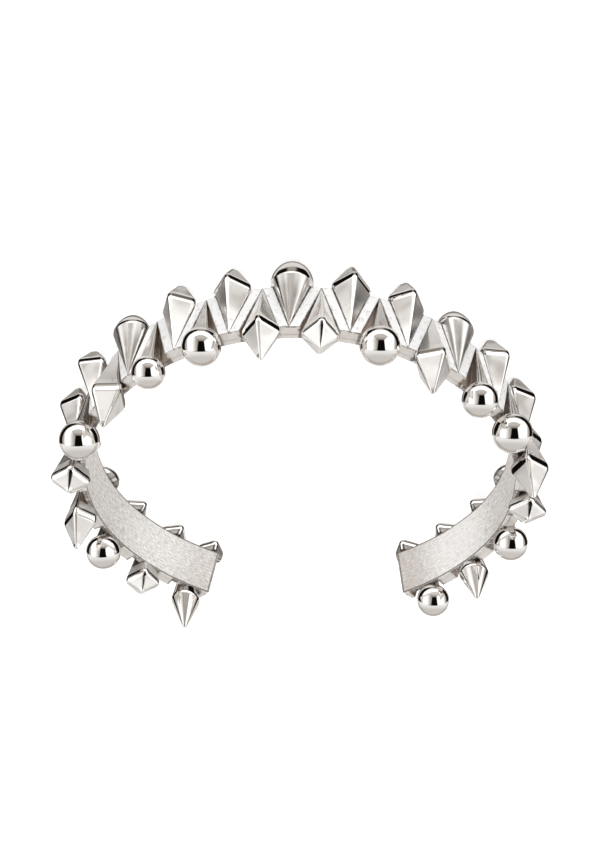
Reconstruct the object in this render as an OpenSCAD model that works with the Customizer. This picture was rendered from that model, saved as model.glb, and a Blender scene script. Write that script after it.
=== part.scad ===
// Studded cuff bracelet, in millimetres.
// The ring's axis is Z, the closed side is towards -Y and the gap towards +Y.
// The cuff lies on its side, on the heads of the studs of its lower rim.

/* [Band] */
// Inner width of the oval, from side to side
inner_w = 57; // [54:0.5:62]
// Inner radius of the left and right sides. A larger one makes the oval deeper
side_r = 20.9; // [19:0.1:22]
// Opening between the two ends, at the inner surface and half way up
gap_w = 26.8; // [24:0.2:28]
// Width of the band
band_w = 8.2; // [7.8:0.1:9]
// Thickness of the inner strip
strip_t = 0.7; // [0.5:0.05:0.8]
// Thickness of the zigzag frame
frame_t = 1.05; // [0.9:0.05:1.3]
// Gap between pieces
clearance = 0.05; // [0.03:0.01:0.08]
// How far the outer edge of an end is set back from the inner edge
end_bevel = 0.9; // [0.5:0.1:1.2]
// How much further the lower rim runs than the upper rim, at each end
end_slant = 0.9; // [0.5:0.1:1.2]
// Chamfer along the edges of the strip and the frame
edge_cut = 0.1; // [0.05:0.01:0.15]

/* [Cells] */
// Length of band left past the last cell's middle line, at the outer surface
end_margin = 0.55; // [0.4:0.05:0.8]
// Thickness of the wall that closes the last cell at each end
end_wall = 0.4; // [0.3:0.05:0.6]
// Half of a cell's mouth, along the rim
mouth = 2.35; // [2:0.05:2.5]
// Metal left between a cell's point and the far rim
web = 0.25; // [0.2:0.05:0.5]

/* [Studs] */
// Reach of the tall heads past the lower rim
rest_reach = 4.6; // [4:0.1:5.5]
// Reach of the round heads past the lower rim
round_reach = 3.5; // [3:0.1:4]
// Reach of the squat heads past the lower rim
squat_reach = 3; // [2:0.1:3.5]
// Width of a squat four-sided stud along the band, as a share of its width across
squat_share = 0.88; // [0.8:0.02:1]
// Height of the bevelled edge round a stud
girdle_h = 0.55; // [0.3:0.05:0.8]
// Flat on the long corners of a four-sided stud
corner_cut = 0.3; // [0.05:0.05:0.5]
// Radius of a four-sided stud just under its tip
tip_r = 0.22; // [0.15:0.01:0.4]
// Width of a bead's tail where it meets the bead
bead_tail_w = 2.9; // [2:0.1:3.2]
// Roundness of the cones' heads, where 1 is a straight side and 2 a quarter of an ellipse
cone_bow = 1.15; // [1.05:0.05:1.4]
// Roundness of the drops' heads
drop_bow = 1.4; // [1.2:0.1:2]
// Roundness of the dome's head
dome_bow = 2; // [1.6:0.1:2.4]

/* [Hidden] */
$fn = 96;

// Columns of the two stud tables. Radius is from the axis to a corner. Girdle, tip and bead heights are
// measured past the rim. Aside and out are how far the tip leans along the band, towards +X on the closed
// side, and outwards from the frame's outer surface. A bead's aside and out are those of its middle.
KIND = 0;
RADIUS = 1;
GIRDLE = 2;
TIP = 3;
ASIDE = 4;
OUT = 5;

upper_studs = [
    ["cone", 2.05, 1.2, 6.1, 1.2, 0.1],
    ["pyramid", 2.8, 1.9, 4, 0.9, 0.1],
    ["bead", 2.4, 1.7, 0, 0.6, 0.1],
    ["kite", 2.4, 2, 6.6, 1.8, -0.1],
    ["pyramid", 2.75, 2.2, 4, 1.3, -0.1],
    ["bead", 2.6, 2, 0, 0.6, -0.3],
    ["kite", 2.6, 1, 6.3, 0.2, -0.35],
    ["bead", 2.08, 1.9, 0, 0, -0.2],
    ["bead", 2.42, 1.4, 0, -0.3, 0],
    ["kite", 2.5, 0.95, 6.1, -0.7, 0.1],
    ["pyramid", 2.65, 1.8, 3.4, -0.2, 0.1],
    ["bead", 2.45, 1.5, 0, 0, 0.1],
    ["kite", 2.6, 0.8, 6.4, 0.3, -0.2],
    ["bead", 2.25, 2.1, 0, 0, -0.1],
    ["bead", 2.55, 1.9, 0, 0.2, -0.1],
    ["kite", 2.55, 1.2, 6.4, 0.1, 0.4],
    ["pyramid", 2.65, 2, 3.8, 0.4, 0.4],
    ["bead", 2.35, 1.1, 0, 0.8, 0.4],
    ["cone", 2.05, 0.9, 5.6, 0.6, 0.2],
    ["bead", 2.3, 1.7, 0, 0.4, 0.1]];

lower_studs = [
    ["pyramid", 2.5, 0.9, squat_reach, -0.4, 0],
    ["pyramid", 2.6, 0.9, squat_reach, 0.9, -0.2],
    ["pyramid", 2.6, 0.9, squat_reach, 1, -0.2],
    ["drop", 2.4, 0.7, squat_reach, 0.8, -0.2],
    ["kite", 2.4, 0.2, rest_reach, 0.5, 0.5],
    ["kite", 2.4, 0, rest_reach - 0.3, 1.4, 1.5],
    ["kite", 2.4, 0, rest_reach - 0.7, 1.6, 1.4],
    ["drop", 2.4, 0.2, round_reach, 0.5, 0.5],
    ["kite", 2.4, 0.2, rest_reach, 0.3, 0.2],
    ["kite", 2.45, 0.3, rest_reach, 0.3, 0.1],
    ["dome", 2.67, 0.15, round_reach, 0, 0.1],
    ["kite", 2.45, 0.3, rest_reach, 0, 0.1],
    ["kite", 2.45, 0.2, rest_reach, 0.2, 0],
    ["drop", 2.4, 0.2, round_reach, 0.2, 0],
    ["kite", 2.5, 0.2, rest_reach, 0.2, -0.1],
    ["kite", 2.4, 0.1, rest_reach, 0, 0],
    ["kite", 2.4, 0.2, rest_reach, 0, 0.5],
    ["drop", 2.4, 0.7, squat_reach, -0.4, 0],
    ["pyramid", 2.5, 1, squat_reach, -0.4, 0],
    ["pyramid", 2.5, 1, squat_reach, -0.2, 0],
    ["pyramid", 2.5, 1, squat_reach, 0.4, 0]];

// The oval: front and back arcs of one radius, tangent to the two side arcs. The arcs' middles make
// a triangle with sides 3, 4 and 5, so the arcs meet where the direction is exactly 4 across to 3 up
side_x = inner_w / 2 - side_r;
front_y = side_x * 3 / 4;
front_r = side_r + side_x * 5 / 4;
side_a = atan2(3, 4);
thickness = strip_t + clearance + frame_t;
end_a = acos(gap_w / 2 / front_r);

// Lengths of the arcs at the outer surface, from the middle of the closed side
front_len = PI * (front_r + thickness) * (90 - side_a) / 180;
side_len = PI * (side_r + thickness) * 2 * side_a / 180;
back_len = PI * (front_r + thickness) * (end_a - side_a) / 180;
upper_count = len(upper_studs);
lower_count = len(lower_studs);
pitch = (front_len + side_len + back_len - end_margin) / (lower_count - 1);

// Height of the band's middle plane over the surface that the cuff lies on
mid_z = band_w / 2 + rest_reach;
// Shift that brings the middle of the whole part to the origin
centre_x = -0.03;
centre_y = -2.18;
// How far a cut runs past the metal that it goes through
past_metal = 1;
// How far a cell's sides are drawn on past the rim
past_rim = 0.5;
// Radius of the point that a tail ends in, the height of the blunt tip and the radius of its end
point_r = 0.05;
blunt_h = 0.15;
blunt_r = 0.1;

// Angle of the outward direction at an arc length, measured from -Y towards +X
function turn(s) =
    s < 0 ? -turn(-s)
    : s < front_len ? 180 * s / (PI * (front_r + thickness))
    : s < front_len + side_len ? 90 - side_a + 180 * (s - front_len) / (PI * (side_r + thickness))
    : 90 + side_a + 180 * (s - front_len - side_len) / (PI * (front_r + thickness));
// Middle of the arc that holds an arc length
function arc_middle(s) =
    s < 0 ? [-arc_middle(-s)[0], arc_middle(-s)[1]]
    : s < front_len ? [0, front_y]
    : s < front_len + side_len ? [side_x, 0]
    : [0, -front_y];
function arc_r(s) =
    (abs(s) >= front_len && abs(s) < front_len + side_len ? side_r : front_r) + thickness;

function upper_s(i) = (upper_count - 1 - 2 * i) * pitch;
function lower_s(i) = (lower_count - 1 - 2 * i) * pitch;
// At which side of a lower stud the band ends
function end_side(i) = i == 0 ? 1 : i == lower_count - 1 ? -1 : 0;
function two_digits(n) = n < 10 ? str("0", n) : str(n);
function upper_name(i) = str(upper_studs[i][KIND], "_upper_", two_digits(i + 1));
function lower_name(i) = str(lower_studs[i][KIND], "_lower_", two_digits(i + 1));

silver = [0.86, 0.85, 0.84];
brushed = [0.74, 0.72, 0.70];
satin = [0.92, 0.91, 0.90];

// Puts children that are made with x along the band, y outwards and z up at their place on the band
module at_station(s) {
    a = turn(s);
    middle = arc_middle(s);
    translate([middle[0] + arc_r(s) * sin(a) - centre_x, middle[1] - arc_r(s) * cos(a) - centre_y, mid_z])
        rotate([0, 0, a])
            mirror([0, 1, 0])
                children();
}

// One arc of the band: its middle, its inner radius, the wall between two depths, and the sector that it fills
module arc_wall(middle, radius, low, high, sector) {
    half = band_w / 2;
    translate([middle[0], middle[1], 0])
        intersection() {
            rotate([0, 0, middle[0] > 0 ? 180 : 0])
                rotate_extrude()
                    polygon([
                        [radius + low, -half + edge_cut], [radius + low + edge_cut, -half],
                        [radius + high - edge_cut, -half], [radius + high, -half + edge_cut],
                        [radius + high, half - edge_cut], [radius + high - edge_cut, half],
                        [radius + low + edge_cut, half], [radius + low, half - edge_cut]]);
            linear_extrude(height = 2 * band_w, center = true)
                polygon(sector);
        }
}

// A block that cuts an end off, with the bevel and the slant of the end
module end_block() {
    past = 3;
    slope = end_bevel / thickness;
    translate([0, -front_y, 0])
        rotate([0, 0, end_a])
            translate([front_r, 0, 0])
                rotate([atan2(end_slant, band_w), 0, 0])
                    linear_extrude(height = 2 * band_w, center = true)
                        polygon([[-past, past * slope], [past, -past * slope], [past, 2 * past], [-past, 2 * past]]);
}

// The open oval between two depths from the inner surface
module oval_wall(low, high) {
    reach = 20;
    joint = [4 * reach, 3 * reach];
    spare = 5;
    difference() {
        union() {
            arc_wall([0, front_y], front_r, low, high, [[0, 0], -joint, [joint[0], -joint[1]]]);
            for (side = [0, 1])
                mirror([side, 0, 0]) {
                    arc_wall([side_x, 0], side_r, low, high, [[0, 0], [joint[0], -joint[1]], joint]);
                    arc_wall([0, -front_y], front_r, low, high,
                        [[0, 0], joint, 5 * reach * [cos(end_a + spare), sin(end_a + spare)]]);
                }
        }
        for (side = [0, 1])
            mirror([side, 0, 0])
                end_block();
    }
}

module inner_strip() {
    color(brushed)
        translate([-centre_x, -centre_y, mid_z])
            oval_wall(0, strip_t);
}

// A cell's outline seen from outside: mouth at the upper rim, point by the lower rim, drawn in by a margin
module cell_outline(margin) {
    half = band_w / 2;
    length = band_w - web;
    slope = mouth / length;
    inset = margin * sqrt(1 + pow(slope, 2));
    top = mouth + past_rim * slope - inset;
    polygon([[-top, half + past_rim], [top, half + past_rim], [0, half - length + inset / slope]]);
}

// The cell as a prism between two heights over the frame's outer surface. Stop is where the band's end
// wall cuts it short, and side says at which side: -1, 1 or 0 for a whole cell
module cell_prism(margin, low, high, side) {
    stop = end_margin + end_slant / 2 - end_bevel - end_wall - margin;
    far = 5;
    translate([0, high, 0])
        rotate([90, 0, 0])
            linear_extrude(height = high - low)
                intersection() {
                    cell_outline(margin);
                    if (side != 0)
                        mirror([side < 0 ? 1 : 0, 0])
                            translate([stop - 2 * far, -band_w])
                                square([2 * far, 2 * band_w]);
                }
}

module zigzag_frame() {
    color(satin)
        difference() {
            translate([-centre_x, -centre_y, mid_z])
                oval_wall(strip_t + clearance, thickness);
            for (i = [0:upper_count - 1])
                at_station(upper_s(i))
                    cell_prism(0, -frame_t - past_metal, past_metal, 0);
            for (i = [0:lower_count - 1])
                at_station(lower_s(i))
                    mirror([0, 0, 1])
                        cell_prism(0, -frame_t - past_metal, past_metal, end_side(i));
        }
}

// The room that a stud may fill: its own cell above the strip, and everything past the rim
module stud_room(side) {
    far = 8;
    rim = band_w / 2;
    cell_prism(clearance, -frame_t + clearance, far, side);
    translate([-far, -far, rim + clearance])
        cube([2 * far, 2 * far, 2 * far]);
}

// A ring of a four-sided stud: a square with its corners cut, turned so that a corner or a flat is outwards,
// and made narrower along the band by a share
function square_ring(r, cut, turned, share, x, y, z) = [
    for (q = [0:3], e = [-1, 1])
        let (a = turned + 90 * q, c = min(cut, r / 2))
        [x + share * ((r - c) * cos(a) - e * c * sin(a)), y + (r - c) * sin(a) + e * c * cos(a), z]];

// A closed solid through rings of eight points, listed from the tail to the tip
module ring_solid(rings) {
    n = len(rings[0]);
    last = len(rings) - 1;
    polyhedron(
        points = [for (ring = rings) each ring],
        faces = concat(
            [[for (j = [0:n - 1]) j]],
            [for (i = [0:last - 1], j = [0:n - 1])
                [i * n + j, (i + 1) * n + j, (i + 1) * n + (j + 1) % n, i * n + (j + 1) % n]],
            [[for (j = [n - 1:-1:0]) last * n + j]]));
}

// Heights of a stud's points over the band's middle plane
tail_z = -band_w / 2 + web;
function lean(z, tip_z) = (z - tail_z) / (tip_z - tail_z);

// A four-sided stud. Levels are pairs of height and radius from tail to tip
module four_sided(levels, turned, cut, share, aside, out) {
    tip_z = levels[len(levels) - 1][0];
    ring_solid([for (level = levels)
        let (k = lean(level[0], tip_z))
        square_ring(level[1], cut, turned, share, aside * k, out * k, level[0])]);
}

module long_or_squat(stud) {
    rim = band_w / 2;
    girdle = rim + stud[GIRDLE];
    tip = rim + stud[TIP];
    r = stud[RADIUS];
    levels = [
        [tail_z, point_r], [girdle - girdle_h / 2, r], [girdle + girdle_h / 2, r],
        [tip - blunt_h, tip_r], [tip, blunt_r]];
    four_sided(levels, 90, corner_cut, stud[KIND] == "pyramid" ? squat_share : 1, stud[ASIDE], stud[OUT]);
}

// A tail with a flat side outwards, for the beads
module flat_tail(stud) {
    end = band_w / 2 + stud[GIRDLE];
    four_sided([[tail_z, point_r], [end, bead_tail_w / sqrt(2)]], 45, point_r, 1, stud[ASIDE], stud[OUT]);
}

module bead(stud) {
    translate([stud[ASIDE], stud[OUT], band_w / 2 + stud[GIRDLE]])
        sphere(r = stud[RADIUS]);
    flat_tail(stud);
}

// A round stud that leans from its tail's point: tail cone, short girdle and head
module round_stud(stud, head) {
    girdle = band_w / 2 + stud[GIRDLE];
    length = band_w / 2 + stud[TIP] - tail_z;
    translate([0, 0, tail_z])
        rotate([-atan2(stud[OUT], length), atan2(stud[ASIDE], length), 0])
            translate([0, 0, -tail_z])
                rotate_extrude()
                    polygon(concat([[0, tail_z], [stud[RADIUS], girdle]], head));
}

// Points of a bowed head from the girdle to the tip, as radius and height. Bow 1 is a cone, more is rounder
function bowed(stud, bow, steps) = [
    for (i = [0:steps])
        let (girdle = band_w / 2 + stud[GIRDLE] + girdle_h / 2, tip = band_w / 2 + stud[TIP], k = i / steps)
        [stud[RADIUS] * pow(1 - pow(k, bow), 1 / bow), girdle + (tip - girdle) * k]];

module one_stud(stud, side) {
    color(silver)
        intersection() {
            if (stud[KIND] == "bead")
                bead(stud);
            else if (stud[KIND] == "cone")
                round_stud(stud, bowed(stud, cone_bow, 5));
            else if (stud[KIND] == "drop")
                round_stud(stud, bowed(stud, drop_bow, 7));
            else if (stud[KIND] == "dome")
                round_stud(stud, bowed(stud, dome_bow, 9));
            else
                long_or_squat(stud);
            stud_room(side);
        }
}

inner_strip();
zigzag_frame();
for (i = [0:upper_count - 1])
    at_station(upper_s(i)) one_stud(upper_studs[i], 0);
for (i = [0:lower_count - 1])
    at_station(lower_s(i)) mirror([0, 0, 1]) one_stud(lower_studs[i], end_side(i));
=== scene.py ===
import math
import bpy
import bmesh
import numpy as np
from mathutils import Matrix, Vector


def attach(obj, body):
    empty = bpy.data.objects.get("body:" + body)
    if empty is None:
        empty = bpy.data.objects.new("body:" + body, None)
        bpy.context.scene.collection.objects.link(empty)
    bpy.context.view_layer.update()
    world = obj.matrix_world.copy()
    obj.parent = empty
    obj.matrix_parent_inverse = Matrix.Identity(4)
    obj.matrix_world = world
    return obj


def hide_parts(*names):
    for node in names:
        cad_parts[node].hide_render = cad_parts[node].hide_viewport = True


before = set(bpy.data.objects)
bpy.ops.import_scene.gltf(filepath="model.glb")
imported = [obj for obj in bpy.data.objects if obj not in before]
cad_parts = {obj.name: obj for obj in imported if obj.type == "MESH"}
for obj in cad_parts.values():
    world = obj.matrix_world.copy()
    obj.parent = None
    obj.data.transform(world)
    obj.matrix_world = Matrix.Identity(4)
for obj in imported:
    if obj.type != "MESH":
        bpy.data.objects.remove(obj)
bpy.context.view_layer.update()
print("frame loaded,", len(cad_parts), "nodes")

mm = 0.001

# the band, in millimetres: an open oval of arcs that meet where the direction is 4 across to 3 up
band = {
    "innerWidth": 57, "sideRadius": 20.9, "gap": 26.8, "width": 8.2,
    "stripThickness": 0.7, "frameThickness": 1.05, "seam": 0.05, "seamFill": 0.04,
    "endBevel": 0.9, "endSlant": 0.9, "endMargin": 0.55, "endWall": 0.4,
    "upperCells": 20, "lowerCells": 21, "mouth": 2.35, "web": 0.25, "clearance": 0.05,
    "middleHeight": 8.7, "shift": (0.03, 2.18),
}
half = band["width"] / 2
thickness = band["stripThickness"] + band["seam"] + band["frameThickness"]
backDepth = band["stripThickness"] + band["seamFill"]
sideX = band["innerWidth"] / 2 - band["sideRadius"]
frontY = sideX * 3 / 4
frontRadius = band["sideRadius"] + sideX * 5 / 4
outerFront, outerSide = frontRadius + thickness, band["sideRadius"] + thickness
sideAngle = math.atan2(3, 4)
endAngle = math.acos(band["gap"] / 2 / frontRadius)
frontLength = outerFront * (math.pi / 2 - sideAngle)
sideLength = outerSide * 2 * sideAngle
bandLength = frontLength + sideLength + outerFront * (endAngle - sideAngle)

# the cells: their spacing, their point and length, the slope of their walls, and how far past its middle the
# last lower cell reaches before the end wall, and a stud in it
upperCount, lowerCount = band["upperCells"], band["lowerCells"]
pitch = (bandLength - band["endMargin"]) / (lowerCount - 1)
upperMiddles = (upperCount - 1 - 2 * np.arange(upperCount)) * pitch
lowerMiddles = (lowerCount - 1 - 2 * np.arange(lowerCount)) * pitch
tailZ = band["web"] - half
cellLength = band["width"] - band["web"]
cellSlope = cellLength / band["mouth"]
slopeLength = math.sqrt(1 + cellSlope ** 2)
endRoom = band["endMargin"] + band["endSlant"] / 2 - band["endBevel"] - band["endWall"]
endStop = endRoom - band["clearance"]


# turn of the outward direction at arc length s, with the middle and radius of the arc there
def arcAt(s):
    t = np.abs(s)
    inFront = t < frontLength
    inSide = ~inFront & (t < frontLength + sideLength)
    turn = np.where(inFront, t / outerFront,
                    np.where(inSide, math.pi / 2 - sideAngle + (t - frontLength) / outerSide,
                             math.pi / 2 + sideAngle + (t - frontLength - sideLength) / outerFront))
    middleX = np.where(inSide, sideX, 0) * np.sign(s)
    middleY = np.where(inFront, frontY, np.where(inSide, 0, -frontY))
    return turn * np.sign(s), middleX, middleY, np.where(inSide, outerSide, outerFront)


# a point s along the outer face, out from it and z above the band's middle:
# middle of the arc + (radius + out) * (sin turn, -cos turn)
def onBand(s, out, z):
    turn, middleX, middleY, radius = arcAt(s)
    x = middleX + (radius + out) * np.sin(turn) + band["shift"][0]
    y = middleY - (radius + out) * np.cos(turn) + band["shift"][1]
    return np.stack(np.broadcast_arrays(x, y, z + band["middleHeight"]), -1)


# arc length where the band ends, at a depth from the inner face and a height: the end plane is
# set back by the bevel towards the outside and by the slant towards the upper rim
def endAt(depth, z):
    tilt = math.atan2(band["endSlant"], band["width"])
    along = -depth * band["endBevel"] / thickness / math.cos(tilt) - z * math.tan(tilt)
    return bandLength + outerFront * np.arcsin(along / (frontRadius + depth))


# quads between neighbouring rings of points, numbered row by row, each ring closed
def ringFaces(rows, columns):
    i = np.arange(rows - 1)[:, None] * columns
    j = np.arange(columns)[None, :]
    k = (j + 1) % columns
    return np.stack([i + j, i + k, i + columns + k, i + columns + j], -1).reshape(-1, 4)


# a mesh from rings of points: quads between the rings and one face over each end
def ringMesh(shells):
    points, faces, start = [], [], 0
    for rings in shells:
        rows, columns = rings.shape[:2]
        flat = rings.reshape(-1, 3)
        quads = ringFaces(rows, columns)
        first, last = list(range(columns - 1, -1, -1)), list(range((rows - 1) * columns, rows * columns))
        a, b, c, d = (flat[quads[:, q]] for q in range(4))
        volume = (np.einsum("ij,ij->i", a, np.cross(b, c)) + np.einsum("ij,ij->i", a, np.cross(c, d))).sum()
        if volume < 0:
            quads, first, last = quads[:, ::-1], first[::-1], last[::-1]
        points.append(flat)
        faces += (quads + start).tolist() + [[start + q for q in first], [start + q for q in last]]
        start += len(flat)
    return np.concatenate(points), faces


# doubles closer than this many millimetres are merged, large faces lead the normals by this weight, and
# an edge is sharp beyond this many degrees
meshing = {"merge": 0.0005, "largeFaces": 90, "bandCrease": 30, "studCrease": 50}


# places are the band's own coordinates for its materials, edges the mask of a stud's rounded edges
def addPiece(name, points, faces, finish, node, crease, places=None, edges=None, merge=False):
    mesh = bpy.data.meshes.new(name)
    mesh.from_pydata((points * mm).tolist(), [], faces)
    if places is not None:
        attribute = mesh.attributes.new("place", "FLOAT_VECTOR", "POINT")
        attribute.data.foreach_set("vector", places.astype(np.float32).ravel())
    if edges is not None:
        attribute = mesh.attributes.new("edge", "FLOAT", "POINT")
        attribute.data.foreach_set("value", edges.astype(np.float32))
    if merge:
        work = bmesh.new()
        work.from_mesh(mesh)
        bmesh.ops.remove_doubles(work, verts=work.verts, dist=meshing["merge"] * mm)
        bmesh.ops.recalc_face_normals(work, faces=work.faces)
        work.to_mesh(mesh)
        work.free()
    mesh.polygons.foreach_set("use_smooth", np.ones(len(mesh.polygons), bool))
    mesh.set_sharp_from_angle(angle=math.radians(crease))
    mesh.materials.append(finish)
    mesh.update()
    piece = bpy.data.objects.new(name, mesh)
    bpy.context.scene.collection.objects.link(piece)
    even = piece.modifiers.new("evenNormals", "WEIGHTED_NORMAL")
    even.weight = meshing["largeFaces"]
    even.keep_sharp = True
    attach(piece, "root")
    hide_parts(node)


# shader maths: a wrapped socket whose + - * / and abs add Math nodes
class Wire:
    def __init__(self, sheet, socket):
        self.sheet, self.socket = sheet, socket

    def math(self, operation, *values):
        return self.sheet.add("ShaderNodeMath", {"operation": operation}, dict(enumerate((self, *values))))

    def __add__(self, other):
        return self.math("ADD", other)

    __radd__ = __add__

    def __sub__(self, other):
        return self.math("SUBTRACT", other)

    def __rsub__(self, other):
        return (self * -1) + other

    def __mul__(self, other):
        return self.math("MULTIPLY", other)

    __rmul__ = __mul__

    def __truediv__(self, other):
        return self.math("DIVIDE", other)

    def __abs__(self):
        return self.math("ABSOLUTE")

    # the larger and the smaller of two
    def orMore(self, other):
        return self.math("MAXIMUM", other)

    def orLess(self, other):
        return self.math("MINIMUM", other)

    # 0 below low, 1 above high, smooth between
    def over(self, low, high):
        return self.sheet.add("ShaderNodeMapRange", {"interpolation_type": "SMOOTHSTEP"},
                              {0: self, 1: low, 2: high, 3: 0.0, 4: 1.0})

    # 1 below low, 0 above high
    def under(self, low, high):
        return 1.0 - self.over(low, high)

    # this value, drawn to another by a share
    def drawnTo(self, other, share):
        return self + share * (other - self)


class Sheet:
    def __init__(self, owner):
        owner.use_nodes = True
        self.tree = owner.node_tree
        self.tree.nodes.clear()

    # a node of a kind: its settings first, then its sockets' values or wires, giving one output
    def add(self, kind, settings=None, sockets=None, output=0):
        node = self.tree.nodes.new(kind)
        for key, value in (settings or {}).items():
            setattr(node, key, value)
        for key, value in (sockets or {}).items():
            if isinstance(value, Wire):
                self.tree.links.new(value.socket, node.inputs[key])
            else:
                node.inputs[key].default_value = value
        return Wire(self, node.outputs[output]) if len(node.outputs) else None

    def mix(self, share, a, b):
        return self.add("ShaderNodeMix", {"data_type": "RGBA"}, {0: share, 6: a, 7: b}, 2)

    def noise(self, where, scale, detail=2.0, roughness=0.5, stretch=None):
        if stretch:
            where = self.add("ShaderNodeMapping", {}, {"Vector": where, "Scale": stretch})
        return self.add("ShaderNodeTexNoise", {},
                        {"Vector": where, "Scale": scale, "Detail": detail, "Roughness": roughness})

    def bump(self, height, strength, distance):
        return self.add("ShaderNodeBump", {},
                        {"Height": height, "Strength": strength, "Distance": distance * mm})

    # the three numbers of a vector
    def parts(self, vector):
        outputs = self.add("ShaderNodeSeparateXYZ", {}, {0: vector}).socket.node.outputs
        return [Wire(self, output) for output in outputs]


def metal(name, look):
    material = bpy.data.materials.new(name)
    sheet = Sheet(material)
    shader = sheet.add("ShaderNodeBsdfPrincipled", {}, look(sheet))
    sheet.add("ShaderNodeOutputMaterial", {}, {"Surface": shader})
    return material


# object coordinates in millimetres
def objectPlace(sheet):
    where = sheet.add("ShaderNodeTexCoord", {}, {}, "Object")
    return sheet.add("ShaderNodeVectorMath", {"operation": "SCALE"}, {0: where, "Scale": 1 / mm})


# the band's own coordinates: along it, up it and the depth from its inner face
def bandPlace(sheet):
    place = sheet.add("ShaderNodeAttribute", {"attribute_name": "place"}, {}, "Vector")
    return place, sheet.parts(place)


# the studs' polish. In these dictionaries a pair is where a mask starts and where it is full: in millimetres,
# in the noise's own values or in shares
# painted light in this table: cloud, facet and darkFacet paint reflections and shade on the flat facets,
# ridge paints dark reflection lines beside the ridges, the brown streak colour paints a reflection of the
# cell walls, and lowShade, gapShade and armShade set painted shade
polish = {
    "colour": (0.94, 0.92, 0.895, 1), "facet": (0.56, 0.525, 0.485, 1), "darkFacet": (0.25, 0.225, 0.195, 1),
    "cloud": (0.49, 0.46, 0.43, 1), "ridge": (0.10, 0.08, 0.07, 1), "paintedWallReflection": (0.46, 0.36, 0.28, 1),
    "roundRoughness": 0.03, "facetRoughness": 0.4, "haze": 0.28, "hazeScale": 0.35, "hazeRoughness": 0.03,
    "cloudScale": 0.3, "cloudSpan": (0.42, 0.60), "cloudShare": 0.8, "cloudLoss": 0.45,
    "lowerRim": (3.0, 9.0), "upperRim": (11.5, 13.5), "facetScale": 0.24, "facetSpan": (0.36, 0.54),
    "lowHeads": (3.6, 5.0), "lowShade": 0.28, "gapSpan": (0.0, 12.0), "gapShade": 0.6,
    "armHeight": (5.0, 6.5), "armSpan": (4.0, 13.0), "armShade": 0.55,
    "ridgeStart": (0.12, 0.35), "ridgeEnd": (0.80, 0.97), "ridgeShare": 0.9,
    "tailStart": (0.71, 0.74), "tailEnd": (0.76, 0.79),
    "streakStretch": (1.3, 1.3, 0.35), "streakSpan": (0.50, 0.60), "streakShare": 0.6,
    "waveScale": 0.45, "waveStrength": 0.04, "waveHeight": 0.2,
}


# rounded parts shine, flat facets are a little hazy, and painted shade makes them greyer between the rims and
# under them
def polishedLook(sheet):
    where = objectPlace(sheet)
    towardsGap, height = sheet.parts(where)[1:]
    edge = sheet.add("ShaderNodeAttribute", {"attribute_name": "edge"}, {}, "Fac")
    flat = 1.0 - edge
    aboveRim = height.over(*polish["upperRim"])
    # painted reflections: darker clouds on the flat facets, fainter above the upper rim
    cloud = sheet.noise(where, polish["cloudScale"], detail=1.0).over(*polish["cloudSpan"]) * flat
    cloud = cloud * (polish["cloudShare"] - aboveRim * polish["cloudLoss"])
    # painted shade: greyer on the tails between the rims and on the low heads, more so towards the gap
    between = height.over(*polish["lowerRim"]) * (1.0 - aboveRim) * flat
    nearGap = towardsGap.over(*polish["gapSpan"]) * polish["gapShade"] + polish["lowShade"]
    grey = between.orMore(height.under(*polish["lowHeads"]) * flat * nearGap)
    # painted reflections on the grey facets: a tone between light and dark that changes from facet to facet
    shade = sheet.noise(where, polish["facetScale"], detail=1.0).over(*polish["facetSpan"])
    facet = sheet.mix(shade, polish["facet"], polish["darkFacet"])
    tone = sheet.mix(cloud, polish["colour"], polish["cloud"])
    tone = sheet.mix(grey, tone, facet)
    # under the arms the facets get painted shade, with painted dark reflection lines along their ridges
    arms = height.under(*polish["armHeight"]) * towardsGap.over(*polish["armSpan"])
    tone = sheet.mix(arms * flat * polish["armShade"], tone, polish["darkFacet"])
    ridge = edge.over(*polish["ridgeStart"]) * edge.under(*polish["ridgeEnd"])
    tone = sheet.mix(arms * ridge * polish["ridgeShare"], tone, polish["ridge"])
    # painted brown reflection of the cell walls, as streaks on the tails in the upper cells, where the edge
    # mask is the studs' tail shine
    tail = edge.over(*polish["tailStart"]) * edge.under(*polish["tailEnd"])
    streak = sheet.noise(where, 1.0, roughness=0.6, stretch=polish["streakStretch"])
    streak = streak.over(*polish["streakSpan"])
    tone = sheet.mix(streak * tail * polish["streakShare"], tone, polish["paintedWallReflection"])
    haze = sheet.noise(where, polish["hazeScale"], detail=3.0) * polish["hazeRoughness"]
    wave = sheet.noise(where, polish["waveScale"], detail=1.0)
    return {"Base Color": tone, "Metallic": 1.0 - flat * polish["haze"],
            "Roughness": polish["facetRoughness"] * flat + polish["roundRoughness"] + haze,
            "Normal": sheet.bump(wave, polish["waveStrength"], polish["waveHeight"])}


# how far s is from the middle of the nearest cell: they repeat every two pitches, those of the lower
# rim (row 0) half way between those of the upper (row 1)
def fromCell(s, row):
    return pitch - abs(((s + row * pitch) / (2 * pitch)).math("FRACT") - 0.5) * (2 * pitch)


# the small plates on both rims
plate = {
    "colour": (0.74, 0.70, 0.66, 1), "pale": (0.88, 0.86, 0.84, 1), "worn": (0.13, 0.10, 0.08, 1),
    "paleScale": 1.4, "paleSpan": (0.35, 0.7), "paleShare": 0.5, "spotScale": 2.6,
    "outerEdge": (thickness - 0.20, thickness - 0.06), "outerSpots": (0.44, 0.54),
    "mouthEdge": (0.05, 0.40), "mouthSpots": (0.36, 0.50), "wornShare": 0.85,
}


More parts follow.
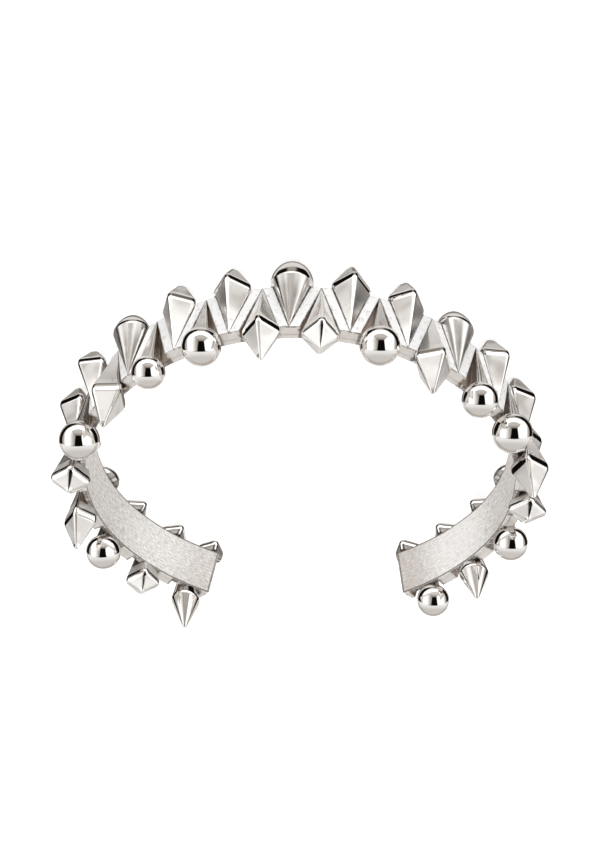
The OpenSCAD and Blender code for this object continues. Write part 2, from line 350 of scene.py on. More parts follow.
# the rim faces of strip and frame read as one plate: mottled, warm, with worn dark edges
def plateTone(sheet, s, z, depth):
    where = sheet.add("ShaderNodeCombineXYZ", {}, {0: s, 1: z, 2: depth})
    pale = sheet.noise(where, plate["paleScale"], detail=3.0).over(*plate["paleSpan"])
    tone = sheet.mix(pale * plate["paleShare"], plate["colour"], plate["pale"])
    spot = sheet.noise(where, plate["spotScale"], detail=3.0, roughness=0.6)
    fromMouth = fromCell(s, z.math("GREATER_THAN", 0.0)) - band["mouth"]
    worn = depth.over(*plate["outerEdge"]) * spot.over(*plate["outerSpots"])
    worn = worn.orMore(fromMouth.under(*plate["mouthEdge"]) * spot.over(*plate["mouthSpots"]))
    return sheet.mix(worn * plate["wornShare"], tone, plate["worn"])


# the frame's bars
satin = {
    "colour": (0.98, 0.975, 0.97, 1), "grey": (0.62, 0.61, 0.60, 1), "shade": (0.58, 0.48, 0.40, 1),
    "line": (0.16, 0.13, 0.11, 1), "spot": (0.13, 0.10, 0.08, 1),
    "streakScale": 2.4, "streakStretch": (1.5, 0.4, 1.0), "cloudScale": 1.1,
    "greyClouds": (0.48, 0.66), "greyStreaks": (0.4, 0.62), "greyShare": 0.75,
    "speckScale": 2.8, "speckStretch": (1.0, 0.7, 1.0), "speckSpan": (0.68, 0.73), "speckShare": 0.6,
    "rim": (half - 0.06, half - 0.02), "face": (thickness - 0.30, thickness - 0.16), "cellShare": 0.9,
    "lineEdge": (0.06, 0.16), "lineShare": 0.55, "lineStreaks": (0.4, 0.55), "lineGain": 0.4,
    "metallic": 0.28, "cellMetallic": 0.52, "rimMetallic": 0.27,
    "roughness": 0.3, "streakRoughness": 0.2, "cellGloss": 0.1, "bump": 0.3, "bumpDepth": 0.03,
}


def satinLook(sheet):
    place, (s, z, depth) = bandPlace(sheet)
    streak = sheet.noise(place, satin["streakScale"], detail=4.0, roughness=0.65,
                         stretch=satin["streakStretch"])
    cloud = sheet.noise(place, satin["cloudScale"], detail=3.0, roughness=0.6)
    speck = sheet.noise(place, satin["speckScale"], roughness=0.6, stretch=satin["speckStretch"])
    speck = speck.over(*satin["speckSpan"])
    rim = abs(z).over(*satin["rim"])
    inCell = depth.under(*satin["face"]) * (1.0 - rim)
    grey = cloud.over(*satin["greyClouds"]) * streak.over(*satin["greyStreaks"]) * satin["greyShare"]
    tone = sheet.mix(grey, satin["colour"], satin["grey"])
    tone = sheet.mix(speck * satin["speckShare"], tone, satin["spot"])
    # a painted dark line of shade along the bars: where a cell's straight wall or the rim is near
    upperWall, lowerWall = [(fromCell(s, row) * cellSlope - z * up + tailZ) / slopeLength
                            for row, up in ((1, 1), (0, -1))]
    near = upperWall.orLess(lowerWall).orLess(half - abs(z))
    streaked = satin["lineShare"] + streak.over(*satin["lineStreaks"]) * satin["lineGain"]
    tone = sheet.mix(near.under(*satin["lineEdge"]) * streaked, tone, satin["line"])
    tone = sheet.mix(inCell * satin["cellShare"], tone, satin["shade"])
    tone = sheet.mix(rim, tone, plateTone(sheet, s, z, depth))
    metallic = satin["metallic"] + inCell * satin["cellMetallic"] + rim * satin["rimMetallic"]
    roughness = satin["roughness"] + streak * satin["streakRoughness"] - inCell * satin["cellGloss"]
    relief = (streak + cloud) * (1.0 - inCell)
    return {"Base Color": tone, "Metallic": metallic, "Roughness": roughness,
            "Normal": sheet.bump(relief, satin["bump"], satin["bumpDepth"])}


# the strip's brushing, with a painted sheen and painted shade towards its ends; the lines are painted dark
# lines of shade along its edges and its ends
brushed = {
    "colour": (1.0, 0.985, 0.965, 1), "dark": (0.48, 0.445, 0.41, 1), "stroke": (0.50, 0.44, 0.39, 1),
    "line": (0.14, 0.115, 0.10, 1), "tilt": 17, "base": 0.06,
    "fineStretch": (1.3, 8.5, 1.0), "fineSpan": (0.44, 0.56), "fineShare": 0.66,
    "strokeStretch": (1.2, 8.0, 1.0), "strokeSpan": (0.57, 0.65), "strokeShare": 0.5,
    "broadStretch": (0.45, 0.9, 1.0), "broadSpan": (0.35, 0.6), "broadShare": 0.1,
    "sheenAt": 63.0, "sheenFade": (1.0, 9.0), "sheen": 0.28, "rightSheen": 0.3,
    "upperFade": (-1.0, 4.0), "upperLoss": 0.09, "endFade": (0.0, 8.0), "endShade": 0.26, "rightShade": 0.22,
    "back": (0.5, 0.7), "rim": (half - 0.03, half - 0.01), "rimDepth": (0.10, 0.14),
    "upperLine": (half - 0.22, half - 0.16), "lowerLine": (half - 0.34, half - 0.26),
    "lineDepth": (0.06, 0.10), "endLineStart": (0.38, 0.44), "endLineEnd": (0.50, 0.58), "lineShare": 0.9,
    "glossEnd": (0.36, 0.44), "metallic": 0.2, "rimMetallic": 0.35, "glossMetallic": 0.5,
    "roughness": 0.34, "broadRoughness": 0.14, "gloss": 0.25, "bump": 0.35, "bumpDepth": 0.03,
}


# short slanting streaks, mirrored between the two arms
def brushedLook(sheet):
    place, (s, z, depth) = bandPlace(sheet)
    where = sheet.add("ShaderNodeCombineXYZ", {}, {0: abs(s), 1: z, 2: depth})
    tilted = sheet.add("ShaderNodeMapping", {"vector_type": "TEXTURE"},
                       {"Vector": where, "Rotation": (0.0, 0.0, math.radians(brushed["tilt"]))})
    fine = sheet.noise(tilted, 1.0, roughness=0.6, stretch=brushed["fineStretch"])
    stroke = sheet.noise(tilted, 1.0, detail=1.0, stretch=brushed["strokeStretch"])
    stroke = stroke.over(*brushed["strokeSpan"])
    broad = sheet.noise(tilted, 1.0, detail=3.0, roughness=0.55, stretch=brushed["broadStretch"])
    toEnd = bandLength - z * (band["endSlant"] / band["width"]) - abs(s)
    gloss = toEnd.under(*brushed["glossEnd"])
    # light and dark streaks, with a painted sheen that is lighter in the middle of each arm and painted shade
    # that is darker towards its end, the right one more so, and darker towards the upper edge
    right = s.math("LESS_THAN", 0.0)
    sheen = abs(abs(s) - brushed["sheenAt"]).under(*brushed["sheenFade"])
    share = fine.over(*brushed["fineSpan"]) * brushed["fineShare"] + brushed["base"]
    share = share + broad.over(*brushed["broadSpan"]) * brushed["broadShare"]
    share = share + sheen * (brushed["sheen"] + right * brushed["rightSheen"])
    share = share - z.over(*brushed["upperFade"]) * brushed["upperLoss"]
    tone = sheet.mix(share.orMore(0.0), brushed["dark"], brushed["colour"])
    # painted shade towards each end, stronger on the right, mixed in with the dark strokes' colour
    paintedEndShade = toEnd.under(*brushed["endFade"]) * (brushed["endShade"] + right * brushed["rightShade"])
    tone = sheet.mix((stroke * brushed["strokeShare"] + paintedEndShade) * (1.0 - gloss), tone, brushed["stroke"])
    # the painted dark lines of shade along the edges and at the ends, then the back in the cells' painted
    # shade, and the rims
    edgeLine = z.over(*brushed["upperLine"]).orMore((z * -1).over(*brushed["lowerLine"]))
    endLine = toEnd.over(*brushed["endLineStart"]) * toEnd.under(*brushed["endLineEnd"])
    line = (edgeLine * depth.under(*brushed["lineDepth"])).orMore(endLine)
    tone = sheet.mix(line * brushed["lineShare"], tone, brushed["line"])
    back = depth.over(*brushed["back"])
    tone = sheet.mix(back, tone, satin["shade"])
    rim = abs(z).over(*brushed["rim"]) * depth.over(*brushed["rimDepth"])
    tone = sheet.mix(rim, tone, plateTone(sheet, s, z, depth))
    metallic = brushed["metallic"] + rim * brushed["rimMetallic"] + (back + gloss) * brushed["glossMetallic"]
    roughness = brushed["roughness"] + broad * brushed["broadRoughness"] - gloss * brushed["gloss"]
    return {"Base Color": tone, "Metallic": metallic, "Roughness": roughness,
            "Normal": sheet.bump(fine * (1.0 - back), brushed["bump"], brushed["bumpDepth"])}


polishedSilver = metal("polishedSilver", polishedLook)
satinSilver = metal("satinSilver", satinLook)
brushedSilver = metal("brushedSilver", brushedLook)
print("finishes made")

# the strip against the wrist
strip = {"edge": 0.12, "edgeSteps": 4, "stations": 300, "endEdge": 0.4, "endSteps": 7}


# a rectangle section with its two inner corners rounded, as depth and height, drawn in by an inset
def stripSection(inset):
    low, high, e = inset, backDepth - inset, strip["edge"]
    top = half - inset
    a = np.linspace(0, math.pi / 2, strip["edgeSteps"] + 1)
    upper = np.stack([low + e - e * np.sin(a), top - e + e * np.cos(a)], -1)
    lower = upper[::-1] * (1, -1)
    return np.concatenate([[[high, top]], upper, lower, [[high, -top]]])


# the section run along the band, shrunk over a quarter circle at each end
def makeStrip():
    e = strip["endEdge"]
    turn = np.linspace(0, math.pi / 2, strip["endSteps"] + 1)[:-1]
    back = e * (1 - np.sin(math.pi / 2 - turn))
    inset = e * (1 - np.sin(turn))
    middle = np.linspace(-1, 1, strip["stations"]) * (bandLength - e)
    along = np.concatenate([back - bandLength, middle, bandLength - back[::-1]])
    section = np.array([stripSection(i) for i in (*inset, *np.zeros(len(middle)), *inset[::-1])])
    depth, z = section[..., 0], section[..., 1]
    s = along[:, None] / bandLength * endAt(depth, z)
    points, faces = ringMesh([onBand(s, depth - thickness, z)])
    places = np.stack([s, z, depth], -1).reshape(-1, 3)
    addPiece("innerStrip", points, faces, brushedSilver, "inner_strip",
             meshing["bandCrease"], places)


# the zigzag frame: at each station one ring of six points between the notched lower and upper edges
zigzag = {"edge": 0.07, "step": 0.45, "endStep": 0.08, "endZone": 2.0, "endReach": 0.2, "furthest": 0.3,
          "closest": 0.0015, "split": 0.002, "thinnest": 0.01, "backLift": 0.002}


# height of the frame's upper edge: the rim, or down a notch's straight sides to its point;
# an inset moves both inwards at right angles to themselves
def edgeHeight(s, middles, inset=0.0):
    away = np.abs(s[:, None] - middles[None, :]).min(1)
    return np.minimum(half - inset, tailZ + away * cellSlope - inset * slopeLength)


# stations at every corner of the notches and of their chamfers, close together near the ends
def frameStations(stop):
    mouth = band["mouth"]
    grown = mouth + zigzag["edge"] * (slopeLength - 1) / cellSlope
    middles = np.concatenate([upperMiddles, lowerMiddles])
    corners = (middles[:, None] + np.array([-grown, -mouth, 0, mouth, grown])).ravel()
    limit = bandLength - zigzag["endZone"]
    steps = np.arange(-limit, limit, zigzag["step"])
    ends = np.arange(limit, bandLength + zigzag["endReach"], zigzag["endStep"])
    walls = stop + np.array([-zigzag["split"], zigzag["split"]])
    s = np.unique(np.round(np.concatenate([corners, steps, ends, -ends, walls, -walls]), 4))
    s = s[np.abs(s) < bandLength + zigzag["furthest"]]
    return s[np.concatenate([[True], np.diff(s) > zigzag["closest"]])]


def makeFrame():
    e = zigzag["edge"]
    stop = bandLength - band["endMargin"] + endRoom
    s = frameStations(stop)
    past = np.abs(s) > stop
    upper, upperIn = edgeHeight(s, upperMiddles), edgeHeight(s, upperMiddles, e)
    lower = np.where(past, -half, -edgeHeight(s, lowerMiddles))
    lowerIn = np.where(past, -half + e, -edgeHeight(s, lowerMiddles, e))
    middle = (upper + lower) / 2
    upperIn = np.maximum(upperIn, middle + zigzag["thinnest"])
    lowerIn = np.minimum(lowerIn, middle - zigzag["thinnest"])
    back = backDepth + zigzag["backLift"]
    depth = np.broadcast_to([thickness, thickness, thickness - e, back, back, thickness - e], (len(s), 6))
    z = np.stack([lowerIn, upperIn, upper, upper, lower, lower], -1)
    limit = endAt(depth, z)
    along = np.clip(s[:, None], -limit, limit)
    points, faces = ringMesh([onBand(along, depth - thickness, z)])
    places = np.stack([along, z, depth], -1).reshape(-1, 3)
    addPiece("zigzagFrame", points, faces, satinSilver, "zigzag_frame",
             meshing["bandCrease"], places, merge=True)


makeStrip()
makeFrame()
print("strip and frame made")

# the studs. Each row's list gives kind, radius, girdle, tip, aside and out, close to the solids', and for one
# a turn in degrees; girdle and tip are above the rim, aside and out is how far the tip leans. Corner and cut
# round the ridges, rounds the bends of the profile
studs = {
    "girdle": {"kite": 0.84, "pyramid": 0.64, "drop": 0.64, "dome": 0.64, "cone": 0.64, "bead": 0},
    "corner": {"kite": 0.5, "pyramid": 0.7, "bead": 0.5}, "cut": {"kite": 0.15, "pyramid": 0.3, "bead": 0.3},
    "rounds": {"kite": (0.22, 0.34, 0.3), "pyramid": (0.16, 0.5, 0.3), "drop": (0.16, 0.5),
               "dome": (0.16, 0.5), "cone": (0.16, 0.5)},
    "squatShare": 0.88, "beadTail": 2.9, "longTip": 5, "tipRadius": 0.42, "bluntTip": 0.8, "tipDrop": 0.6,
    "tipEnd": 0.3, "coneTip": 0.38, "coneBend": 0.3, "bow": {"drop": 1.4, "dome": 2.0},
    "lean": 0.35, "leanSoftness": 0.4, "tailStreaks": 8, "streakDepth": 0.45, "tailShine": 0.75,
    "upper": [
        ("cone", 2.05, 1.2, 6.1, 1.2, 0.1), ("pyramid", 2.85, 2.1, 3.9, 0.9, -0.3, -35),
        ("bead", 2.4, 1.7, 0, 0.6, 0.1), ("kite", 2.4, 2, 6.6, 1.8, -0.1),
        ("pyramid", 2.9, 1.9, 3.9, 1.0, -0.25), ("bead", 2.6, 2, 0, 0.6, -0.3),
        ("kite", 2.6, 1, 6.3, 0.2, -0.35), ("bead", 2.08, 1.9, 0, 0, -0.2),
        ("bead", 2.42, 1.4, 0, -0.3, 0), ("kite", 2.5, 0.95, 6.1, -0.7, 0.1),
        ("pyramid", 2.9, 1.7, 3.95, -0.2, 0.1), ("bead", 2.45, 1.5, 0, 0, 0.1),
        ("kite", 2.6, 0.8, 6.4, 0.3, -0.2), ("bead", 2.25, 2.1, 0, 0, -0.1),
        ("bead", 2.55, 1.9, 0, 0.2, -0.1), ("kite", 2.55, 1.2, 6.4, 0.1, 0.2),
        ("pyramid", 2.85, 1.6, 3.3, 0.4, 0.2), ("bead", 2.35, 1.1, 0, 0.8, 0.4),
        ("cone", 2.05, 0.9, 5.6, 0.6, 0.2), ("bead", 2.3, 1.7, 0, 0.4, 0.1)],
    "lower": [
        ("pyramid", 2.55, 1.3, 3.2, -0.1, -0.15), ("pyramid", 2.7, 1.3, 3.2, 1.1, -0.2),
        ("pyramid", 2.7, 1.3, 3.2, 1, -0.2), ("drop", 2.4, 0.7, 3, 0.8, -0.2),
        ("kite", 2.55, 0.2, 4.6, 0.5, 0.05), ("kite", 2.55, 0, 4.3, 1.4, 1.1),
        ("kite", 2.55, 0, 3.9, 1.6, 1.0), ("drop", 2.4, 0.2, 3.5, 0.5, 0.5),
        ("kite", 2.55, 0.2, 4.6, 0.3, 0.2), ("kite", 2.6, 0.3, 4.6, 0.3, 0.1),
        ("dome", 2.67, 0.15, 3.7, 0, 0.1), ("kite", 2.6, 0.3, 4.6, 0, 0.1),
        ("kite", 2.6, 0.2, 4.6, 0.2, 0), ("drop", 2.4, 0.2, 3.5, 0.2, 0),
        ("kite", 2.65, 0.2, 4.6, 0.2, -0.1), ("kite", 2.55, 0.1, 4.6, 0, 0),
        ("kite", 2.55, 0.2, 4.6, 0, 0.1), ("drop", 2.4, 0.7, 3, -0.4, 0),
        ("pyramid", 2.65, 1.3, 3.2, -0.4, 0), ("pyramid", 2.65, 1.3, 3.2, -0.3, 0),
        ("pyramid", 2.55, 1.3, 3.2, 0.4, -0.15)],
}


# how finely the studs are cut; the rows and columns beside a curve keep the facets flat
grid = {"curveSteps": 6, "cornerPoints": 9, "roundColumns": 132, "beadRows": 90, "headRows": 28,
        "tipRows": 10, "beside": 0.12, "besideShare": 0.3, "longSide": 4, "curveShare": 0.48,
        "cornerShare": 0.4, "headEnd": 0.995, "poleAngle": 0.01, "coneAngle": 0.02, "tailRadius": 0.05,
        "poleRadius": 0.02, "rimSplit": 0.002, "endGap": 0.03, "wallShare": 1.05, "thinnest": 0.01}


# a polyline of heights and radii with each inner corner replaced by a quadratic curve between two points
# near it; the third column is 1 on the curves and 0 on the straights
def softened(corners, reaches):
    corners = np.array(corners, float)
    line = [np.append(corners[0], 1)]
    for before, at, after, reach in zip(corners[:-2], corners[1:-1], corners[2:], reaches):
        inward, outward = before - at, after - at
        lengthIn, lengthOut = np.linalg.norm(inward), np.linalg.norm(outward)
        a = at + inward / lengthIn * min(reach, grid["curveShare"] * lengthIn)
        b = at + outward / lengthOut * min(reach, grid["curveShare"] * lengthOut)
        if lengthIn > grid["longSide"] * reach:
            line.append(np.append(a + inward / lengthIn * grid["beside"], 0))
        for t in np.linspace(0, 1, grid["curveSteps"] + 1):
            line.append(np.append((1 - t) ** 2 * a + 2 * t * (1 - t) * at + t ** 2 * b, 1))
        if lengthOut > grid["longSide"] * reach:
            line.append(np.append(b + outward / lengthOut * grid["beside"], 0))
    line.append(np.append(corners[-1], 1))
    return np.array(line)


# a square section of half diagonal r, one ring for each r: its corners are arcs of a smaller radius,
# set in by the cut from the sharp corner's radius; a point beside each arc keeps the sides flat
def squareRings(r, turned, share, kind):
    arc = np.linspace(-math.pi / 4, math.pi / 4, grid["cornerPoints"])
    setIn = studs["cut"][kind] / studs["corner"][kind] - (math.sqrt(2) - 1)
    corner = np.minimum(studs["corner"][kind], grid["cornerShare"] * r)[:, None, None]
    r = r[:, None, None] - corner * setIn
    at = turned + np.arange(4)[None, :, None] * math.pi / 2
    along = r - math.sqrt(2) * corner + corner * np.cos(arc)
    aside = corner * np.sin(arc)
    flat = np.minimum(grid["beside"], grid["besideShare"] * r) * math.sqrt(0.5)
    along = np.concatenate([along[..., :1] - flat, along, along[..., -1:] - flat], -1)
    aside = np.concatenate([aside[..., :1] - flat, aside, aside[..., -1:] + flat], -1)
    x = share * (along * np.cos(at) - aside * np.sin(at))
    y = along * np.sin(at) + aside * np.cos(at)
    edge = np.broadcast_to(np.pad(np.cos(2 * arc), 1), (4, len(arc) + 2)).reshape(1, -1)
    return x.reshape(len(r), -1), y.reshape(len(r), -1), edge


# circles of radius r, one ring for each
def roundRings(r):
    a = np.linspace(0, 2 * math.pi, grid["roundColumns"], endpoint=False)
    return r[:, None] * np.cos(a), r[:, None] * np.sin(a), np.ones((1, len(a)))


# rows at the rim are doubled, so that what is in the cell can be held back from its walls
def rimRows(profile):
    z = profile[:, 0]
    extra = half + band["clearance"] + np.array([-grid["rimSplit"], grid["rimSplit"]])
    zAll = np.sort(np.concatenate([z, extra[(extra > z[0]) & (extra < z[-1])]]))
    return zAll, np.interp(zAll, z, profile[:, 1]), np.interp(zAll, z, profile[:, 2])


# the last lower studs start only where their cell, cut short at the band's end, has room
def shortened(profile, endSide):
    if not endSide:
        return profile
    start = tailZ + (grid["endGap"] - endStop) * cellLength / band["mouth"]
    row = [start] + [np.interp(start, profile[:, 0], profile[:, c]) for c in (1, 2)]
    return np.concatenate([[row], profile[profile[:, 0] > start]])


# what lies under the rim stays inside the cell: clear of its two slanted walls, of the strip and of the
# end wall
def heldInCell(x, y, z, endSide):
    under = z < half + band["clearance"]
    wall = band["mouth"] * (z - tailZ) / cellLength - band["clearance"] * grid["wallShare"]
    wall = np.maximum(wall, grid["thinnest"])
    low, high = -wall, wall
    if endSide > 0:
        high = np.minimum(high, endStop)
    elif endSide < 0:
        low = np.maximum(low, -endStop)
    x = np.where(under, np.clip(x, low, high), x)
    y = np.where(under, np.maximum(y, band["clearance"] - band["frameThickness"]), y)
    return x, y


# how much of the tip's lean a row has: none at the tail's point, all at the top
def leanShare(z, top):
    return ((z - tailZ) / (top - tailZ))[:, None]


# The next three give a stud's shells in its own frame, x along the band, y outwards and z towards its rim,
# with each row's share of the lean and the mask of the rounded edges.

# kites and pyramids: a square section on a profile from the tail's point over the girdle to the blunt tip
def squareShell(kind, radius, low, high, tipZ, swing, endSide):
    sharp = kind == "pyramid" or tipZ - half > studs["longTip"]
    end = studs["tipRadius"] if sharp else studs["bluntTip"]
    profile = softened([(tailZ, grid["tailRadius"]), (low, radius), (high, radius),
                        (tipZ - end * studs["tipDrop"], end), (tipZ, end * studs["tipEnd"])],
                       studs["rounds"][kind])
    z, r, bent = rimRows(shortened(profile, endSide))
    share = studs["squatShare"] if kind == "pyramid" else 1
    x, y, turn = squareRings(r, math.pi / 2 + swing, share, kind)
    return x, y, z, leanShare(z, tipZ), np.maximum(bent[:, None], turn)


# cones, drops and the dome: round, on a profile from the tail's point over the girdle to the tip
def roundShell(kind, radius, girdleZ, high, tipZ):
    reach = tipZ - high
    if kind == "cone":
        # the sides run straight into a ball at the tip
        blunt, bend, rows = studs["coneTip"], studs["coneBend"], grid["tipRows"]
        slope = math.asin((radius - blunt) / (reach - blunt))
        a = np.linspace(slope, math.pi / 2 - grid["coneAngle"], rows)
        ball = np.stack([tipZ - blunt + blunt * np.sin(a), blunt * np.cos(a), np.ones(rows)], -1)
        head = np.concatenate([[(high, radius, 1), (high + bend, radius - bend * math.tan(slope), 1)], ball])
    else:
        # radius * (1 - k^bow)^(1/bow) at a share k of the head's height
        k = np.linspace(0, grid["headEnd"], grid["headRows"])
        bow = studs["bow"][kind]
        head = np.stack([high + reach * k, radius * (1 - k ** bow) ** (1 / bow), np.ones(len(k))], -1)
    start = softened([(tailZ, grid["tailRadius"]), (girdleZ, radius), (high, radius), head[1, :2]],
                     studs["rounds"][kind])
    z, r, bent = rimRows(np.concatenate([start[:-1], head[1:], [(tipZ, grid["poleRadius"], 1)]]))
    x, y, turn = roundRings(r)
    if kind == "cone":
        return x, y, z, leanShare(z, tipZ), turn
    # the outer side leans back towards the tail, by up to lean times how far out it is, and the tail has
    # dull streaks along it
    lean = np.interp(z, [tailZ, girdleZ, tipZ], [0, studs["lean"], 0])[:, None]
    lean = lean * (y + np.sqrt(y ** 2 + studs["leanSoftness"])) / 2
    around = np.linspace(0, 2 * math.pi, x.shape[1], endpoint=False)
    streak = 1 - studs["streakDepth"] * (1 - np.cos(studs["tailStreaks"] * around))
    return x, y, z[:, None] - lean, leanShare(z, tipZ), np.where((z < girdleZ)[:, None], streak, 1.0)


# a ball, and the square tail that carries it
def beadShells(radius, girdleZ):
    a = np.linspace(grid["poleAngle"] - math.pi / 2, math.pi / 2 - grid["poleAngle"], grid["beadRows"])
    ball = np.stack([girdleZ + radius * np.sin(a), radius * np.cos(a), np.ones(len(a))], -1)
    z, r, bent = rimRows(ball)
    x, y, turn = roundRings(r)
    shells = [(x, y, z, 1.0, turn)]
    tail = [(tailZ, grid["tailRadius"], 0), (girdleZ, studs["beadTail"] / math.sqrt(2), 0)]
    z, r, bent = rimRows(np.array(tail))
    x, y, turn = squareRings(r, math.pi / 4, 1, "bead")
    return shells + [(x, y, z, leanShare(z, girdleZ), np.maximum(bent[:, None], turn))]


def makeStud(stud, s, up, name, node, endSide):
    kind, radius, girdle, tip, aside, out = stud[:6]
    swing = math.radians(stud[6]) if len(stud) > 6 else 0.0
    girdleZ, tipZ, edge = half + girdle, half + tip, studs["girdle"][kind] / 2
    if kind == "bead":
        shells = beadShells(radius, girdleZ)
    elif kind in ("kite", "pyramid"):
        shells = [squareShell(kind, radius, girdleZ - edge, girdleZ + edge, tipZ, swing, endSide)]
    else:
        shells = [roundShell(kind, radius, girdleZ, girdleZ + edge, tipZ)]
    turn = float(arcAt(np.array(s))[0])
    along = np.array([math.cos(turn), math.sin(turn), 0])
    outward = np.array([math.sin(turn), -math.cos(turn), 0])
    origin = onBand(np.array(s), 0.0, 0.0)
    rings, edges = [], []
    for x, y, z, lean, mask in shells:
        height = np.broadcast_to(z if z.ndim == 2 else z[:, None], x.shape)
        if up > 0:
            inCell = height < half + band["clearance"]
            mask = np.maximum(mask, np.where(inCell, studs["tailShine"], 0.0))
        x, y = heldInCell(x + aside * lean, y + out * lean, height, endSide)
        rings.append(origin + x[..., None] * along + y[..., None] * outward
                     + height[..., None] * np.array([0, 0, up]))
        edges.append(np.broadcast_to(mask, x.shape).ravel())
    points, faces = ringMesh(rings)
    addPiece(name, points, faces, polishedSilver, node, meshing["studCrease"],
             edges=np.concatenate(edges))


# the two studs in the cells that are cut short, and on which side
shortSide = {("lower", 0): 1, ("lower", lowerCount - 1): -1}
for rowName, middles, up in (("upper", upperMiddles, 1), ("lower", lowerMiddles, -1)):
    for number, stud in enumerate(studs[rowName]):
        tag = f"{number + 1:02d}"
        makeStud(stud, middles[number], up, stud[0] + rowName.capitalize() + tag,
                 f"{stud[0]}_{rowName}_{tag}", shortSide.get((rowName, number), 0))
print("studs made")

# the camera: distance and angles to the middle of the oval, in the picture's own proportions
view = {"elevation": 46.69, "azimuth": -5.075, "roll": 3.496, "distance": 180.0, "focal": 1330.8,
        "centre": (299.97, 465.0), "picture": (600, 857), "sensor": 36, "clip": (0.01, 20)}
elevation, azimuth = math.radians(view["elevation"]), math.radians(view["azimuth"])
towards = Vector((math.sin(azimuth) * math.cos(elevation), -math.cos(azimuth) * math.cos(elevation),
                  math.sin(elevation)))
level = (-towards).cross(Vector((0, 0, 1))).normalized()
upright = level.cross(-towards)
turned = math.pi + math.radians(view["roll"])
rightward = math.cos(turned) * level + math.sin(turned) * upright
upward = -math.sin(turned) * level + math.cos(turned) * upright


def makeCamera():
    data = bpy.data.cameras.new("camera")
    camera = bpy.data.objects.new("camera", data)
    bpy.context.scene.collection.objects.link(camera)
    target = Vector((*band["shift"], band["middleHeight"]))
    place = Matrix((rightward, upward, towards)).transposed().to_4x4()
    place.translation = (target + towards * view["distance"]) * mm
    camera.matrix_world = place
    (width, height), centre = view["picture"], view["centre"]
    data.sensor_width = view["sensor"]
    data.lens = view["sensor"] * view["focal"] / height
    data.shift_x = (width / 2 - centre[0]) / height
    data.shift_y = (centre[1] - height / 2) / height
    data.clip_start, data.clip_end = view["clip"]
    bpy.context.scene.camera = camera
    bpy.context.scene.view_settings.view_transform = "Standard"


makeCamera()
print("camera placed")

# the studio: what a polished ball would show, in the ball's own circle. x and y run across it from -1 to 1,
# and side and rho are the distances from the upright through its middle and from its middle. Behind keeps
# the direction straight behind the ball from a division by nothing
studio = {
    "behind": 0.0001, "black": 0.004, "even": 1.32,
    "brown": (1.0, 0.87, 0.76, 1), "white": (1.0, 1.0, 1.0, 1),
    "horizonBend": 0.24, "horizon": -0.30, "horizonSoft": 0.012,
    "ground": 0.62, "groundGain": 0.45, "groundRise": (-0.60, -0.26), "groundLoss": 0.3,
    "groundFall": (0.80, 0.90), "groundRim": 0.35, "groundRimStart": (0.93, 0.98),
    "side": 0.45, "softbox": 1.25, "boxEdge": (0.60, 0.72), "boxLean": 0.25, "boxLeanFrom": 0.3,
    "boxFade": 0.72, "boxFadeX": (-0.50, -0.12), "boxFadeEnd": (0.02, 0.1), "boxFadeTop": (0.25, 0.45),
    "boxTopShare": 0.6,
    "ceiling": 0.56, "panelX": 0.03, "panelHalf": 0.14, "panelFrom": 0.22, "panelSpread": 0.95,
    "panelSoft": (-0.03, 0.02), "panelRise": (0.16, 0.24), "panelLow": 0.45, "panelGlow": (0.2, 0.42),
    "lineSoft": (0.0, 0.05), "lineRise": (0.18, 0.30), "lineShare": 0.4,
    "arc": 1.9, "arcStart": (0.52, 0.58), "arcEnd": (0.70, 0.74), "arcSides": (0.38, 0.56),
    "arcRise": (0.3, 0.45),
    "gapX": 0.035, "gapSpread": 0.12, "gapFrom": 0.25, "gapSoft": (0.125, 0.155), "gapTop": (0.20, 0.27),
    "wedgeTop": (-0.265, -0.235), "wedgeSides": (0.25, 0.6), "wedgeShare": 0.6,
    "ring": 0.79, "ringDrift": 0.08, "ringThin": 0.026, "ringWide": 0.034, "ringSides": (0.25, 0.6),
    "ringSoft": (0.0, 0.03), "ringTop": 0.35, "ringTurn": (0.10, 0.26),
    "far": 0.75, "farStart": (0.83, 0.88), "rim": 0.18, "rimStart": (0.93, 0.97),
}


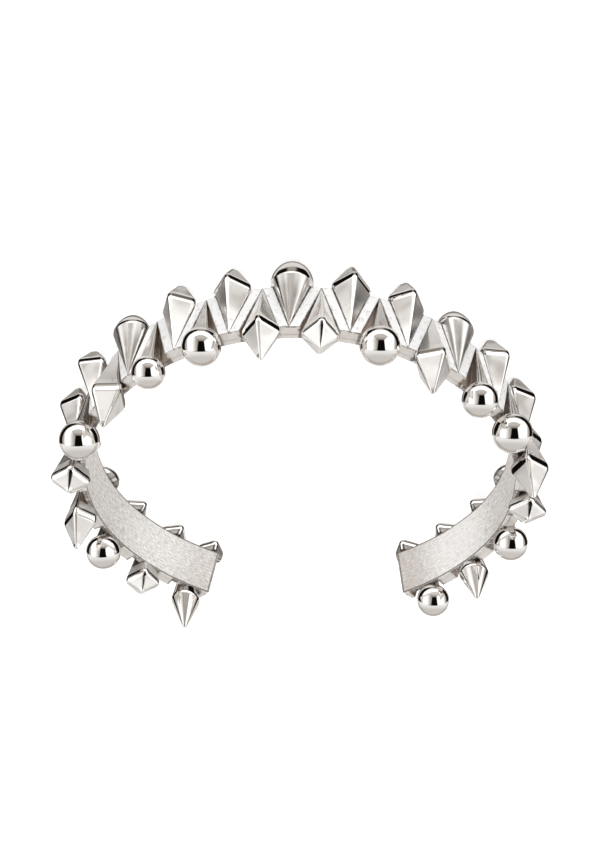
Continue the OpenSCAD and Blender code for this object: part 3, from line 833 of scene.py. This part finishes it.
def makeStudio():
    world = bpy.data.worlds.new("studio")
    bpy.context.scene.world = world
    sheet = Sheet(world)
    look = sheet.add("ShaderNodeTexCoord", {}, {}, "Generated")
    a, b, c = [sheet.add("ShaderNodeVectorMath", {"operation": "DOT_PRODUCT"},
                         {0: look, 1: tuple(axis)}, "Value") for axis in (rightward, upward, towards)]
    # the ball's normal for a direction is half way between it and the camera's
    size = ((c + (1 + studio["behind"])) * 2).math("SQRT")
    x, y = a / size, b / size
    rho = ((1.0 - c) * 0.5).math("SQRT")
    side = abs(x)
    horizon = x * x * studio["horizonBend"] + studio["horizon"]
    above = (y - horizon).over(-studio["horizonSoft"], studio["horizonSoft"])
    # the ground, brightest at the horizon and darker towards the rim
    ground = studio["ground"] * (1.0 + y.over(*studio["groundRise"]) * studio["groundGain"])
    ground = ground * (1.0 - rho.over(*studio["groundFall"]) * studio["groundLoss"])
    ground = ground + rho.over(*studio["groundRimStart"]) * studio["groundRim"]
    # the sides, and two softboxes that fade towards the middle on the left and the outside on the right
    boxes = (side + (y - studio["boxLeanFrom"]).orMore(0.0) * studio["boxLean"]).under(*studio["boxEdge"])
    fade = x.over(*studio["boxFadeX"]) * studio["boxFade"] * x.under(*studio["boxFadeEnd"])
    left = 1.0 - fade * (1.0 - y.over(*studio["boxFadeTop"]) * studio["boxTopShare"])
    upper = studio["side"] + boxes * (studio["softbox"] * left - studio["side"])
    # a paler panel between them, wider upwards, with soft grey lines at its edges
    panelEdge = abs(x - studio["panelX"]) - studio["panelHalf"]
    panelEdge = panelEdge - (y - studio["panelFrom"]) * studio["panelSpread"]
    inPanel = panelEdge.under(*studio["panelSoft"]) * y.over(*studio["panelRise"])
    glow = studio["panelLow"] + y.over(*studio["panelGlow"]) * (1 - studio["panelLow"])
    upper = upper.drawnTo(studio["ceiling"] * glow, inPanel)
    line = abs(panelEdge).under(*studio["lineSoft"]) * y.over(*studio["lineRise"]) * studio["lineShare"]
    upper = upper * (1.0 - line)
    # the bright arc over them
    arc = rho.over(*studio["arcStart"]) * rho.under(*studio["arcEnd"])
    arc = arc * side.under(*studio["arcSides"]) * y.over(*studio["arcRise"])
    upper = upper.drawnTo(studio["arc"], arc)
    # the dark gap that the camera stands in
    gap = (abs(x - studio["gapX"]) - (studio["gapFrom"] - y) * studio["gapSpread"]).under(*studio["gapSoft"])
    gap = gap * y.under(*studio["gapTop"])
    wedge = y.under(*studio["wedgeTop"]) * side.under(*studio["wedgeSides"]) * studio["wedgeShare"]
    upper = upper * (1.0 - gap.orMore(wedge)) + gap * studio["black"]
    # the dark of the room round them: thin above, wide at the sides
    spread = studio["ringThin"] + side.over(*studio["ringSides"]) * studio["ringWide"]
    ring = (abs(rho - studio["ring"] - side * studio["ringDrift"]) - spread).under(*studio["ringSoft"])
    ring = ring * (studio["ringTop"] + side.over(*studio["ringTurn"]) * (1 - studio["ringTop"]))
    upper = upper * (1.0 - ring) + ring * studio["black"]
    upper = upper.drawnTo(studio["far"], rho.over(*studio["farStart"]) * (1.0 - ring))
    upper = upper.drawnTo(studio["rim"], rho.over(*studio["rimStart"]))
    light = ground.drawnTo(upper, above)
    # the camera and the matt surfaces see an even light
    camera, diffuse = [sheet.add("ShaderNodeLightPath", {}, {}, ray)
                       for ray in ("Is Camera Ray", "Is Diffuse Ray")]
    light = light.drawnTo(studio["even"], camera.orMore(diffuse))
    tint = sheet.mix(light.over(0.0, 1.0), studio["brown"], studio["white"])
    shader = sheet.add("ShaderNodeBackground", {}, {"Color": tint, "Strength": light})
    sheet.add("ShaderNodeOutputWorld", {}, {"Surface": shader})


# a pale floor that glows a little, so that the cuff throws hardly any shadow on it
floor = {"size": 3.0, "colour": (0.96, 0.96, 0.96, 1), "glow": 0.22}


def makeFloor():
    mesh = bpy.data.meshes.new("floor")
    e = floor["size"] / 2
    mesh.from_pydata([(-e, -e, 0), (e, -e, 0), (e, e, 0), (-e, e, 0)], [], [(0, 1, 2, 3)])
    paper = bpy.data.materials.new("paleFloor")
    sheet = Sheet(paper)
    matt = sheet.add("ShaderNodeBsdfDiffuse", {}, {"Color": floor["colour"], "Roughness": 1.0})
    glow = sheet.add("ShaderNodeEmission", {}, {"Strength": floor["glow"]})
    both = sheet.add("ShaderNodeAddShader", {}, {0: matt, 1: glow})
    sheet.add("ShaderNodeOutputMaterial", {}, {"Surface": both})
    mesh.materials.append(paper)
    plane = bpy.data.objects.new("floor", mesh)
    bpy.context.scene.collection.objects.link(plane)
    plane.visible_glossy = False


# a soft round lamp overhead that no reflection shows
lamp = {"energy": 0.45, "size": 0.5, "height": 0.6}


def makeLamp():
    data = bpy.data.lights.new("overhead", "AREA")
    data.shape, data.size, data.energy = "DISK", lamp["size"], lamp["energy"]
    overhead = bpy.data.objects.new("overhead", data)
    overhead.location = (0, 0, lamp["height"])
    overhead.visible_glossy = False
    overhead.visible_camera = False
    bpy.context.scene.collection.objects.link(overhead)


makeStudio()
makeFloor()
makeLamp()
print("studio made")
